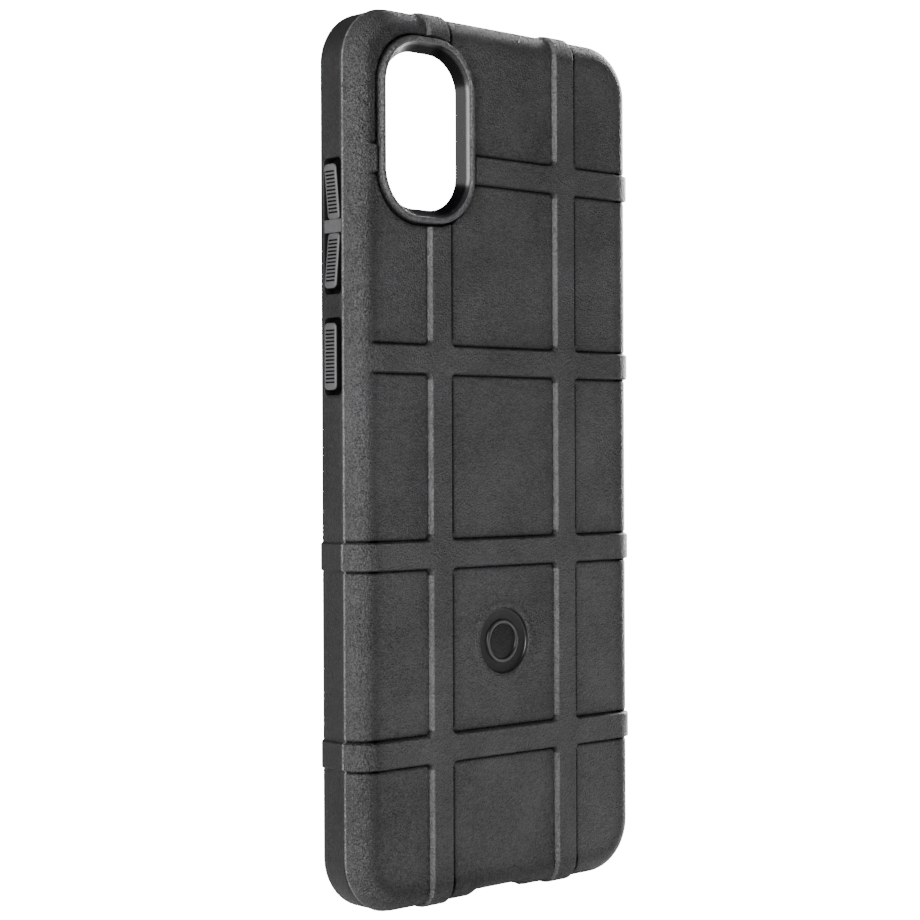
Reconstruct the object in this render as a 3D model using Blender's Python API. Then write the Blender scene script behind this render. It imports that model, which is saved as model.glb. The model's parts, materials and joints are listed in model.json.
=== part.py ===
"""Rugged soft case for a tall phone, upright, with its ribbed back towards -Y.

Everything is modelled round the middle of the back panel's outer face: X runs across the case, Y from the
back towards the screen, and Z along the length. One empty then moves the origin to the panel's inner face,
where the phone that holds the case rests.
"""

from math import cos, radians, sin

import bmesh
import bpy
from mathutils import Matrix, Vector

# ---- the phone that the case holds ----
PHONE_WIDTH = 0.0700
PHONE_HEIGHT = 0.1638
PHONE_THICKNESS = 0.0088
PHONE_CLEARANCE = 0.0001

# ---- walls ----
SIDE_WALL = 0.0022
END_WALL = 0.0029
PANEL = 0.0017
LIP_THICKNESS = 0.0010
LIP_OVERHANG = 0.0010
CORNER_RADIUS = 0.0106
PART_GAP = 0.0003  # between pieces that touch in the real case
PART_LINE = 0.0043  # depth at which the back shell meets the side frame
FRONT_ROUND = 0.0018

# ---- the back's rounded edge, an ellipse that ends at the part line ----
EDGE_REACH = 0.0055  # how far in from the side the rounding starts
EDGE_STEPS = 6

# ---- rib lattice ----
RIB_WIDTH = 0.0057
RIB_HEIGHT = 0.00085
RIB_SIDE_HEIGHT = 0.0005
RIB_LINE_SPACING = 0.0338
RIB_ROW_PITCH = 0.0370
RIB_ROWS = 4
RIB_ROWS_RAISED = 0.00035  # the lattice sits this much above the middle of the case
RIB_ROWS_STOPPED = 2  # upper rows that end short of the key side
RIB_STOP_INSET = 0.0030
RIB_FRONT_INSET = 0.0003

# ---- lens bezel ----
BEZEL_FROM_SIDE = 0.0172
BEZEL_FROM_TOP = 0.0225
BEZEL_WIDTH = 0.0242
BEZEL_HEIGHT = 0.0354
BEZEL_CORNER = 0.0100
BEZEL_CREST = 0.0013  # how far the crest stands off the panel
BEZEL_LAND = 0.0012  # width of the crest
BEZEL_WALL_SLOPE = 0.0016
BEZEL_ROUND = 0.0006

# ---- round badge ----
BADGE_BELOW_MIDDLE = 0.0355
BADGE_RADIUS = 0.0066
BADGE_RECESS = 0.00045
BADGE_THICKNESS = 0.0005
BADGE_RING_OUTER = 0.0043
BADGE_RING_INNER = 0.0035
BADGE_RING_HEIGHT = 0.0004

# ---- keys on the left side ----
KEY_WIDTH = 0.0034
KEY_BACK_DEPTH = 0.0056  # depth of the key's rear edge
KEY_THICKNESS = 0.0016
KEY_PROUD = 0.0005
KEY_CORNER = 0.0008
KEY_ROUND = 0.00025
KEY_END_GAP = 0.0010
KEY_FRONT_GAP = 0.0004
SLOT_CORNER = 0.0010
VOLUME_KEY_LENGTH = 0.01045
VOLUME_KEY_TILT = 5.4  # degrees that a volume key leans out of the side
BRIDGE_FROM_TOP = 0.0412
BRIDGE_LENGTH = 0.0019
POWER_KEY_LENGTH = 0.0125
POWER_KEY_FROM_TOP = 0.0655
GROOVE_WIDTH = 0.00028
GROOVE_DEPTH = 0.0003
GROOVE_PITCH = 0.00069
GROOVE_MARGIN = 0.00035
VOLUME_GROOVES = 12
POWER_GROOVES = 15
NUB_LENGTH = 0.0040
NUB_WIDTH = 0.0018
NUB_HEIGHT = 0.0006

# ---- openings in the ends ----
PORT_WIDTH = 0.0112
PORT_FRONT_DEPTH = 0.0088
PORT_CORNER = 0.0010
RELIEF_WIDTH = 0.0112
RELIEF_FLANK = 0.0025
RELIEF_HEIGHT = 0.00085
SPEAKER_WIDTH = 0.0038
SPEAKER_OFFSET = 0.0108
SPEAKER_THICKNESS = 0.0016
MIC_OFFSET = 0.0060
MIC_RADIUS = 0.0008

# ---- worked out from the sizes above ----
POCKET_WIDTH = PHONE_WIDTH + 2 * PHONE_CLEARANCE
POCKET_HEIGHT = PHONE_HEIGHT + 2 * PHONE_CLEARANCE
POCKET_FRONT = PANEL + PHONE_THICKNESS
CASE_WIDTH = POCKET_WIDTH + 2 * SIDE_WALL
CASE_HEIGHT = POCKET_HEIGHT + 2 * END_WALL
FRONT_DEPTH = POCKET_FRONT + LIP_THICKNESS
POCKET_CORNER = CORNER_RADIUS - END_WALL
LEFT_SIDE = -CASE_WIDTH / 2
TOP_END = CASE_HEIGHT / 2
KEY_FRONT_DEPTH = KEY_BACK_DEPTH + KEY_WIDTH
KEY_MID_DEPTH = KEY_BACK_DEPTH + KEY_WIDTH / 2
SLOT_FRONT_DEPTH = KEY_FRONT_DEPTH + KEY_FRONT_GAP
BRIDGE_Z = TOP_END - BRIDGE_FROM_TOP
POWER_KEY_Z = TOP_END - POWER_KEY_FROM_TOP
PORT_MID_DEPTH = (PART_LINE + PORT_FRONT_DEPTH) / 2
OVERSHOOT = 0.0030  # how far a cutter runs past what it cuts
ARC_STEPS = 8
RIM_STEPS = 3


def clear_scene():
    for obj in list(bpy.data.objects):
        bpy.data.objects.remove(obj)


def new_collection(name):
    collection = bpy.data.collections.new(name)
    bpy.context.scene.collection.children.link(collection)
    return collection


def new_material(name, colour, roughness):
    material = bpy.data.materials.new(name)
    material.use_nodes = True
    shader = material.node_tree.nodes["Principled BSDF"]
    shader.inputs["Base Color"].default_value = (*colour, 1.0)
    shader.inputs["Roughness"].default_value = roughness
    shader.inputs["Metallic"].default_value = 0.0
    return material


def slab(size, centre, corner, steps=ARC_STEPS, along="Y"):
    """A box with its four edges along one axis rounded, as a bmesh."""
    bm = bmesh.new()
    bmesh.ops.create_cube(bm, size=1.0)
    bmesh.ops.scale(bm, vec=Vector(size), verts=bm.verts)
    axis = Vector([float(letter == along) for letter in "XYZ"])
    rounded = []
    for edge in bm.edges:
        run = (edge.verts[1].co - edge.verts[0].co).normalized()
        if abs(run.dot(axis)) > 0.9:
            rounded.append(edge)
    if corner > 0:
        bmesh.ops.bevel(
            bm, geom=rounded, offset=corner, segments=steps, profile=0.5, affect="EDGES"
        )
    bmesh.ops.translate(bm, vec=Vector(centre), verts=bm.verts)
    return bm


def round_rim(bm, axis, place, offset, steps=RIM_STEPS):
    """Rounds the rim of the flat face that lies at one place on an axis."""
    rim = []
    for edge in bm.edges:
        on_face = all(abs(v.co[axis] - place) < 1e-6 for v in edge.verts)
        if on_face and len(edge.link_faces) == 2:
            rim.append(edge)
    bmesh.ops.bevel(bm, geom=rim, offset=offset, segments=steps, profile=0.5, affect="EDGES")


def round_back(bm, reach, depth):
    """Insets the back face step by step, so that its rim becomes a quarter of an ellipse."""
    bm.faces.ensure_lookup_table()
    back = min(bm.faces, key=lambda face: face.calc_center_median().y)
    turns = [radians(90) * step / EDGE_STEPS for step in range(EDGE_STEPS + 1)]
    for start, end in zip(turns, turns[1:]):
        inward = reach * (cos(start) - cos(end))
        outward = depth * (sin(end) - sin(start))
        bmesh.ops.inset_individual(
            bm, faces=[back], thickness=inward, depth=outward, use_even_offset=True
        )


def add_object(name, bm, collection, material=None):
    bmesh.ops.recalc_face_normals(bm, faces=bm.faces)
    mesh = bpy.data.meshes.new(name)
    bm.to_mesh(mesh)
    bm.free()
    obj = bpy.data.objects.new(name, mesh)
    collection.objects.link(obj)
    obj.parent = case_frame
    if material:
        mesh.materials.append(material)
        mesh.shade_smooth()
        mesh.set_sharp_from_angle(angle=radians(35))
    return obj


def add_cutter(name, bm):
    obj = add_object(name, bm, cutters)
    obj.hide_render = True
    obj.display_type = "WIRE"
    return obj


def boolean(obj, other, operation):
    modifier = obj.modifiers.new(operation.title() + " " + other.name, "BOOLEAN")
    modifier.operation = operation
    modifier.solver = "EXACT"
    modifier.object = other


def cut(obj, *others):
    for other in others:
        boolean(obj, other, "DIFFERENCE")


def outline_slab(width, height, corner, back, front):
    """A slab with the case's outline, from one depth to another."""
    middle = (back + front) / 2
    return slab((width, front - back, height), (0, middle, 0), corner)


def rib_rows():
    """Heights of the middle of each row, from the top row down."""
    top = RIB_ROWS_RAISED + RIB_ROW_PITCH * (RIB_ROWS - 1) / 2
    return [top - RIB_ROW_PITCH * row for row in range(RIB_ROWS)]


def lattice(name, back, front, stopped_at):
    """The ribs' bars as one solid. The bars run past the case on all sides but where a row is stopped."""
    reach = 2 * OVERSHOOT
    bars = []
    for side in (-1, 1):
        size = (RIB_WIDTH, front - back, CASE_HEIGHT + 2 * reach)
        place = (side * RIB_LINE_SPACING / 2, (back + front) / 2, 0)
        bars.append(add_cutter(f"{name}_line_{side + 2}", slab(size, place, 0)))
    right = CASE_WIDTH / 2 + reach
    for row, height in enumerate(rib_rows()):
        left = stopped_at if row < RIB_ROWS_STOPPED else -right
        size = (right - left, front - back + OVERSHOOT, RIB_WIDTH)
        place = ((left + right) / 2, (back + front) / 2, height)
        bars.append(add_cutter(f"{name}_row_{row + 1}", slab(size, place, 0)))
    for bar in bars[1:]:
        boolean(bars[0], bar, "UNION")
    return bars[0]


def rib_outline(back, front):
    """The case's outline grown by the rib height."""
    width = CASE_WIDTH + 2 * RIB_SIDE_HEIGHT
    height = CASE_HEIGHT + 2 * RIB_SIDE_HEIGHT
    return outline_slab(width, height, CORNER_RADIUS + RIB_SIDE_HEIGHT, back, front)


def rib_skin(name, bm, stopped_at):
    """The ribs themselves: a grown outline, kept only where the bars are."""
    skin = add_cutter(name, bm)
    bars = lattice(name + "_bars", -2 * OVERSHOOT, FRONT_DEPTH + OVERSHOOT, stopped_at)
    boolean(skin, bars, "INTERSECT")
    return skin


def plug_relief():
    """The scoop with sloping flanks across the bottom end, where a plug's body goes."""
    mouth = TOP_END + OVERSHOOT
    roof = TOP_END - RELIEF_HEIGHT
    run = (mouth - roof) * RELIEF_FLANK / RELIEF_HEIGHT
    depth = FRONT_DEPTH + 2 * OVERSHOOT
    bm = slab((1.0, depth, mouth - roof), (0, PORT_FRONT_DEPTH - depth / 2, -(mouth + roof) / 2), 0)
    for vert in bm.verts:
        half = RELIEF_WIDTH / 2
        if vert.co.z < -(mouth + roof) / 2:
            half += run
        vert.co.x = half * (1 if vert.co.x > 0 else -1)
    return add_cutter("plug_relief", bm)


def end_cut(name, width, back, front, x, top, corner):
    """A slot through the top or the bottom wall."""
    wall_mid = TOP_END - END_WALL / 2
    size = (width, front - back, END_WALL + 2 * OVERSHOOT)
    place = (x, (back + front) / 2, wall_mid if top else -wall_mid)
    return add_cutter(name, slab(size, place, corner, steps=4, along="Z"))


def side_slot(name, low, high):
    """A key slot through the left wall. It is open to the back shell's edge."""
    back = PART_LINE
    size = (SIDE_WALL + 2 * OVERSHOOT, SLOT_FRONT_DEPTH - back, high - low)
    place = (LEFT_SIDE + SIDE_WALL / 2, (back + SLOT_FRONT_DEPTH) / 2, (low + high) / 2)
    return add_cutter(name, slab(size, place, SLOT_CORNER, steps=4, along="X"))


def volume_slot_ends():
    reach = BRIDGE_LENGTH / 2 + PART_GAP + VOLUME_KEY_LENGTH + KEY_END_GAP
    return BRIDGE_Z - reach, BRIDGE_Z + reach


def power_slot_ends():
    reach = POWER_KEY_LENGTH / 2 + KEY_END_GAP
    return POWER_KEY_Z - reach, POWER_KEY_Z + reach


def make_pocket():
    """The space the phone fills, and the mouth that shows its screen."""
    pocket = outline_slab(POCKET_WIDTH, POCKET_HEIGHT, POCKET_CORNER, PANEL, POCKET_FRONT)
    mouth_front = FRONT_DEPTH + OVERSHOOT
    mouth = outline_slab(
        POCKET_WIDTH - 2 * LIP_OVERHANG,
        POCKET_HEIGHT - 2 * LIP_OVERHANG,
        POCKET_CORNER - LIP_OVERHANG,
        PANEL + OVERSHOOT,
        mouth_front,
    )
    return add_cutter("phone_pocket", pocket), add_cutter("screen_mouth", mouth)


def bezel_centre():
    return LEFT_SIDE + BEZEL_FROM_SIDE, TOP_END - BEZEL_FROM_TOP


def make_back_shell():
    bm = outline_slab(CASE_WIDTH, CASE_HEIGHT, CORNER_RADIUS, PART_LINE, PART_LINE + OVERSHOOT)
    round_back(bm, EDGE_REACH, PART_LINE)
    shell = add_object("back_shell", bm, case, soft_black)
    bm = rib_outline(PART_LINE, PART_LINE + 2 * OVERSHOOT)
    round_back(bm, EDGE_REACH + RIB_SIDE_HEIGHT, PART_LINE + RIB_HEIGHT)
    ribs = rib_skin("back_ribs", bm, LEFT_SIDE + RIB_STOP_INSET)
    boolean(shell, ribs, "UNION")
    x, z = bezel_centre()
    size = (BEZEL_WIDTH + 2 * PART_GAP, 4 * OVERSHOOT, BEZEL_HEIGHT + 2 * PART_GAP)
    window = add_cutter("bezel_window", slab(size, (x, 0, z), BEZEL_CORNER + PART_GAP))
    seat = turned_disc(BADGE_RADIUS + PART_GAP, -OVERSHOOT, badge_floor() + PART_GAP)
    big = 2 * CASE_HEIGHT
    front = add_cutter("front_of_part_line", slab((big, big, big), (0, PART_LINE + big / 2, 0), 0))
    cut(shell, front, pocket, window, add_cutter("badge_seat", seat), relief)
    return shell


def make_side_frame():
    back = PART_LINE + PART_GAP
    bm = outline_slab(CASE_WIDTH, CASE_HEIGHT, CORNER_RADIUS, back - OVERSHOOT, FRONT_DEPTH)
    round_rim(bm, 1, FRONT_DEPTH, FRONT_ROUND)
    frame = add_object("side_frame", bm, case, side_black)
    front = FRONT_DEPTH - RIB_FRONT_INSET
    bm = rib_outline(back - 2 * OVERSHOOT, front)
    round_rim(bm, 1, front, FRONT_ROUND + RIB_SIDE_HEIGHT - RIB_FRONT_INSET)
    pads = rib_skin("side_ribs", bm, LEFT_SIDE + SIDE_WALL)
    boolean(frame, pads, "UNION")
    big = 2 * CASE_HEIGHT
    behind = add_cutter("back_of_part_line", slab((big, big, big), (0, back - big / 2, 0), 0))
    cut(frame, behind, pocket, mouth, relief)
    cut(frame, side_slot("volume_slot", *volume_slot_ends()))
    cut(frame, side_slot("power_slot", *power_slot_ends()))
    port = end_cut("port_cut", PORT_WIDTH, PART_LINE, PORT_FRONT_DEPTH, 0, False, PORT_CORNER)
    cut(frame, port)
    low = PORT_MID_DEPTH - SPEAKER_THICKNESS / 2
    high = PORT_MID_DEPTH + SPEAKER_THICKNESS / 2
    round_end = SPEAKER_THICKNESS / 2 - 1e-5
    for name, x in (("speaker_cut", SPEAKER_OFFSET), ("jack_side_cut", -SPEAKER_OFFSET)):
        cut(frame, end_cut(name, SPEAKER_WIDTH, low, high, x, False, round_end))
    low = PORT_MID_DEPTH - MIC_RADIUS
    high = PORT_MID_DEPTH + MIC_RADIUS
    mic = end_cut("mic_cut", 2 * MIC_RADIUS, low, high, MIC_OFFSET, True, MIC_RADIUS - 1e-5)
    cut(frame, mic)
    return frame


def make_lens_bezel():
    """A rounded ring with a straight outside and a window that narrows towards the phone."""
    x, z = bezel_centre()
    depth = PANEL + BEZEL_CREST
    middle = (PANEL - BEZEL_CREST) / 2
    bm = slab((BEZEL_WIDTH, depth, BEZEL_HEIGHT), (x, middle, z), BEZEL_CORNER)
    round_rim(bm, 1, -BEZEL_CREST, BEZEL_ROUND, steps=2)
    bezel = add_object("lens_bezel", bm, case, gloss_black)
    past = 1.0 + 2 * OVERSHOOT / depth
    slope = BEZEL_WALL_SLOPE * past
    width = BEZEL_WIDTH - 2 * BEZEL_LAND + 2 * BEZEL_WALL_SLOPE * OVERSHOOT / depth
    height = BEZEL_HEIGHT - 2 * BEZEL_LAND + 2 * BEZEL_WALL_SLOPE * OVERSHOOT / depth
    size = (width, depth + 2 * OVERSHOOT, height)
    hole = slab(size, (x, middle, z), BEZEL_CORNER - BEZEL_LAND)
    narrow = [v for v in hole.verts if v.co.y > middle]
    factor = Vector((1 - 2 * slope / width, 1, 1 - 2 * slope / height))
    bmesh.ops.scale(hole, vec=factor, verts=narrow, space=Matrix.Translation((-x, 0, -z)))
    cut(bezel, add_cutter("lens_window", hole))
    return bezel


def turned_disc(radius, back, front, steps=40):
    """A disc whose axis runs along Y, in the badge's place."""
    bm = bmesh.new()
    bmesh.ops.create_cone(
        bm, cap_ends=True, segments=steps, radius1=radius, radius2=radius, depth=front - back
    )
    turn = Matrix.Rotation(radians(90), 4, "X")
    bmesh.ops.transform(bm, matrix=turn, verts=bm.verts)
    place = (0, (back + front) / 2, -BADGE_BELOW_MIDDLE)
    bmesh.ops.translate(bm, vec=Vector(place), verts=bm.verts)
    return bm


def badge_floor():
    """Depth of the badge's inner face."""
    return BADGE_RECESS + BADGE_THICKNESS


def make_badge():
    """A plain disc with one raised ring."""
    top = BADGE_RECESS - BADGE_RING_HEIGHT
    badge = add_object("badge_disc", turned_disc(BADGE_RADIUS, BADGE_RECESS, badge_floor()), case, smooth_black)
    buried = BADGE_RECESS + BADGE_THICKNESS / 2
    ring = add_cutter("badge_ring_blank", turned_disc(BADGE_RING_OUTER, top, buried))
    hole_front = BADGE_RECESS - BADGE_RING_HEIGHT / 8
    hole = add_cutter("badge_ring_hole", turned_disc(BADGE_RING_INNER, top - OVERSHOOT, hole_front))
    boolean(badge, ring, "UNION")
    cut(badge, hole)
    return badge


def key_mesh(low, high, thickness):
    """A key's slab in its own frame: the outer face at X = 0, and the length along Z."""
    size = (thickness, KEY_WIDTH, high - low)
    bm = slab(size, (thickness / 2, 0, (low + high) / 2), KEY_CORNER, steps=4, along="X")
    round_rim(bm, 0, 0.0, KEY_ROUND, steps=2)
    return bm


def groove_cutter(name, middle, count):
    """A row of fine slots across a key's outer face."""
    bm = bmesh.new()
    for groove in range(count):
        height = middle + (groove - (count - 1) / 2) * GROOVE_PITCH
        made = bmesh.ops.create_cube(bm, size=1.0)
        size = Vector((2 * GROOVE_DEPTH, KEY_WIDTH - 2 * GROOVE_MARGIN, GROOVE_WIDTH))
        bmesh.ops.scale(bm, vec=size, verts=made["verts"])
        bmesh.ops.translate(bm, vec=Vector((0, 0, height)), verts=made["verts"])
    return add_cutter(name, bm)


def make_key(name, low, high, grooves, axis_place, tilt, axis_offset):
    """A key with its origin on its hinge axis. axis_offset is from the axis to the key's own frame."""
    middle = (low + high) / 2
    bm = key_mesh(low, high, KEY_THICKNESS)
    nub_size = (NUB_HEIGHT * 2, NUB_WIDTH, NUB_LENGTH)
    nub = slab(nub_size, (KEY_THICKNESS, 0, middle), 0)
    cutter = groove_cutter(name + "_grooves", middle, grooves)
    shift = Matrix.Translation(axis_offset)
    key = add_object(name, bm, case, key_black)
    nub_blank = add_cutter(name + "_nub", nub)
    for obj in (key, cutter, nub_blank):
        obj.data.transform(shift)
        obj.location = axis_place
        obj.rotation_euler = (0, tilt, 0)
    boolean(key, nub_blank, "UNION")
    cut(key, cutter)
    return key


def make_volume_keys():
    """Two keys that bend at the bridge between them, each leaning out at its far end."""
    lean = radians(VOLUME_KEY_TILT)
    sink = VOLUME_KEY_LENGTH * radians(VOLUME_KEY_TILT) - KEY_PROUD
    for name, up in (("volume_up_key", 1), ("volume_down_key", -1)):
        hinge_z = BRIDGE_Z + up * (BRIDGE_LENGTH / 2 + PART_GAP)
        place = Vector((LEFT_SIDE + sink + KEY_THICKNESS / 2, KEY_MID_DEPTH, hinge_z))
        ends = sorted((0.0, up * VOLUME_KEY_LENGTH))
        offset = Vector((-KEY_THICKNESS / 2, 0, 0))
        make_key(name, ends[0], ends[1], VOLUME_GROOVES, place, -up * lean, offset)


def make_power_key():
    """A key that bends along its front edge."""
    half = POWER_KEY_LENGTH / 2
    place = Vector((LEFT_SIDE - KEY_PROUD + KEY_THICKNESS, KEY_FRONT_DEPTH, POWER_KEY_Z))
    offset = Vector((-KEY_THICKNESS, -KEY_WIDTH / 2, 0))
    make_key("power_key", -half, half, POWER_GROOVES, place, 0.0, offset)


def make_volume_bridge():
    """The web between the volume keys, flush with the side."""
    back = PART_LINE + PART_GAP
    front = SLOT_FRONT_DEPTH - PART_GAP
    size = (SIDE_WALL, front - back, BRIDGE_LENGTH)
    place = (LEFT_SIDE + SIDE_WALL / 2, (back + front) / 2, BRIDGE_Z)
    bm = slab(size, place, 0)
    round_rim(bm, 0, LEFT_SIDE, KEY_ROUND, steps=2)
    return add_object("volume_bridge", bm, case, key_black)


clear_scene()
case = new_collection("phone_case")
cutters = new_collection("phone_case_cutters")
case_frame = bpy.data.objects.new("case_frame", None)
case_frame.location = (0, -PANEL, 0)
case.objects.link(case_frame)

soft_black = new_material("soft_black_tpu", (0.030, 0.030, 0.031), 0.55)
side_black = new_material("side_black_tpu", (0.026, 0.026, 0.027), 0.60)
gloss_black = new_material("gloss_black_tpu", (0.022, 0.022, 0.023), 0.25)
smooth_black = new_material("smooth_black_tpu", (0.020, 0.020, 0.021), 0.35)
key_black = new_material("key_black_tpu", (0.075, 0.075, 0.077), 0.45)

pocket, mouth = make_pocket()
relief = plug_relief()
make_back_shell()
make_side_frame()
make_lens_bezel()
make_badge()
make_volume_bridge()
make_volume_keys()
make_power_key()
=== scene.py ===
import json
from math import cos, exp, hypot, pi, radians, sin

import bmesh
import bpy
from mathutils import Matrix, Vector


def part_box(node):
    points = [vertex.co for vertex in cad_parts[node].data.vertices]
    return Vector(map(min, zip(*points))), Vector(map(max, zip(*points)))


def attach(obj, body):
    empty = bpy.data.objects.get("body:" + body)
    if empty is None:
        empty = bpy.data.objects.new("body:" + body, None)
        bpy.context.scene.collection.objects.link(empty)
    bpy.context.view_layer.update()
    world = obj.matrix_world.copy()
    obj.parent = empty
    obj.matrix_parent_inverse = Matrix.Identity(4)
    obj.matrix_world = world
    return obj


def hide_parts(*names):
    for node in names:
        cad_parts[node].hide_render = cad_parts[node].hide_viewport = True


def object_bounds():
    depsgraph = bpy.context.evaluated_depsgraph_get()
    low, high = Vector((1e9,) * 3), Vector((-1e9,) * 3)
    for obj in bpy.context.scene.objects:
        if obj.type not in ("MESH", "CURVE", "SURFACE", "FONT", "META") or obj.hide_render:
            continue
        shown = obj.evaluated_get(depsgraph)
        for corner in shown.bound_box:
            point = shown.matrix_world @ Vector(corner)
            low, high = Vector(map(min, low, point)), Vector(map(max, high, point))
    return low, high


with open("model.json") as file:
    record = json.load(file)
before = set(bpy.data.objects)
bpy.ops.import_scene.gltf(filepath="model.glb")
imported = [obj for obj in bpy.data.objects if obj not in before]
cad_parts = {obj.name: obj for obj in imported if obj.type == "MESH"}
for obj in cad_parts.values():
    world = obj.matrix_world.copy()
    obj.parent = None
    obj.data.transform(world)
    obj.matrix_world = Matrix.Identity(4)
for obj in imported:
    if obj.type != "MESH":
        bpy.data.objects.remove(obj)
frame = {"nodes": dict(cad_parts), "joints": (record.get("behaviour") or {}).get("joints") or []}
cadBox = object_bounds()
print("frame loaded:", ", ".join(sorted(frame["nodes"])))

mm = 0.001

# the case's own shape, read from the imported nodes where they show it
backLow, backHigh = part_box("back_shell")
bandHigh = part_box("side_frame")[1]
shape = {
    "ribHeight": 0.85 * mm,
    "ribSideHeight": 0.5 * mm,
    "cornerRadius": 10.6 * mm,
    "edgeReach": 5.5 * mm,
    "edgeSwell": 0.80,  # 1 is an ellipse, and less is fuller at the corner
    "borderRise": 0.30 * mm,  # the low bead that runs round the back
    "borderCrest": 2.4 * mm,
    "borderSlope": 3.2 * mm,
    "sideWall": 2.2 * mm,
    "endWall": 2.9 * mm,
    "panel": 1.7 * mm,
    "lip": 1.0 * mm,
    "lipOverhang": 1.0 * mm,
    "frontRound": 1.8 * mm,
    "seam": 0.10 * mm,
    "seamBead": 0.14 * mm,  # half the width of the fine raised line along the part line
    "seamRise": 0.15 * mm,
    "hollowMiddle": 3.9 * mm,  # painted shade in the dip inside the border
    "hollowReach": 1.3 * mm,
    "hollowShade": 0.28,
    "seamHighlight": 1.6,  # painted highlight along the part line, where its fine bead would glint
}
panelY = backLow.y + shape["ribHeight"]
partY = backHigh.y
frontY = bandHigh.y
midZ = (backLow.z + backHigh.z) / 2
halfWidth = (backHigh.x - backLow.x) / 2 - shape["ribSideHeight"]
halfLength = (backHigh.z - backLow.z) / 2 - shape["ribSideHeight"]
partDepth = partY - panelY


def linear(hexColour):
    channels = [int(hexColour[i:i + 2], 16) / 255 for i in (1, 3, 5)]
    return tuple(c / 12.92 if c <= 0.04045 else ((c + 0.055) / 1.055) ** 2.4 for c in channels) + (1.0,)


def smooth(value):
    value = min(max(value, 0.0), 1.0)
    return value * value * (3 - 2 * value)


def spread(low, high, step, fineSpots):
    # places from low to high, close together near the fine spots: (middle, reach, fine step)
    places = [low]
    while places[-1] < high:
        here = places[-1]
        pace = step
        for middle, reach, fine in fineSpots:
            gap = abs(here - middle) - reach
            pace = min(pace, fine if gap < 0 else fine + gap * 0.35)
        places.append(here + pace)
    stretch = (high - low) / (places[-1] - low)
    return [low + (place - low) * stretch for place in places]


def finishMesh(name, bm, materials, sharp=40):
    bmesh.ops.recalc_face_normals(bm, faces=bm.faces)
    mesh = bpy.data.meshes.new(name)
    bm.to_mesh(mesh)
    bm.free()
    piece = bpy.data.objects.new(name, mesh)
    bpy.context.scene.collection.objects.link(piece)
    for material in materials:
        mesh.materials.append(material)
    mesh.shade_smooth()
    mesh.set_sharp_from_angle(angle=radians(sharp))
    return piece


def bevelEdges(bm, edges, width, segments):
    bmesh.ops.bevel(bm, geom=edges, offset=width, segments=segments, profile=0.5, affect="EDGES", material=-1)


def roundedBox(low, high, corner, segments, axis):
    # a box whose edges along one axis are rounded
    bm = bmesh.new()
    bmesh.ops.create_cube(bm, size=1.0)
    size = Vector(high) - Vector(low)
    bmesh.ops.scale(bm, vec=size, verts=bm.verts)
    bmesh.ops.translate(bm, vec=(Vector(high) + Vector(low)) / 2, verts=bm.verts)
    edges = []
    for edge in bm.edges:
        run = edge.verts[1].co - edge.verts[0].co
        if abs(run[axis]) > 0.9 * run.length:
            edges.append(edge)
    bevelEdges(bm, edges, corner, segments)
    return bm


def carve(piece, cutters):
    # cuts the cutters out of the piece and leaves a plain mesh
    for cutter in cutters:
        step = piece.modifiers.new("carve", "BOOLEAN")
        step.operation = "DIFFERENCE"
        step.solver = "EXACT"
        step.material_mode = "TRANSFER"
        step.object = cutter
    bpy.context.view_layer.update()
    graph = bpy.context.evaluated_depsgraph_get()
    result = bpy.data.meshes.new_from_object(piece.evaluated_get(graph))
    old = piece.data
    piece.modifiers.clear()
    piece.data = result
    result.name = piece.name
    bpy.data.meshes.remove(old)
    for cutter in cutters:
        bpy.data.objects.remove(cutter)
    return piece


def addNode(tree, kind, settings=None, links=None):
    node = tree.nodes.new(kind)
    for key, value in (settings or {}).items():
        if isinstance(key, int) or key in node.inputs:
            node.inputs[key].default_value = value
        else:
            setattr(node, key, value)
    for key, source in (links or {}).items():
        tree.links.new(source, node.inputs[key])
    return node


blend = {
    "cloudSize": 14 * mm,
    "cloudShare": 0.3,
    "speckShare": 0.7,
    "clumpShare": 0.9,
    "darkEnd": 0.35,
    "lightEnd": 0.65,
    "paintedLightStrength": 0.85,  # how much of the colour and sheen painted shade takes away, and painted highlight adds
}


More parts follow.
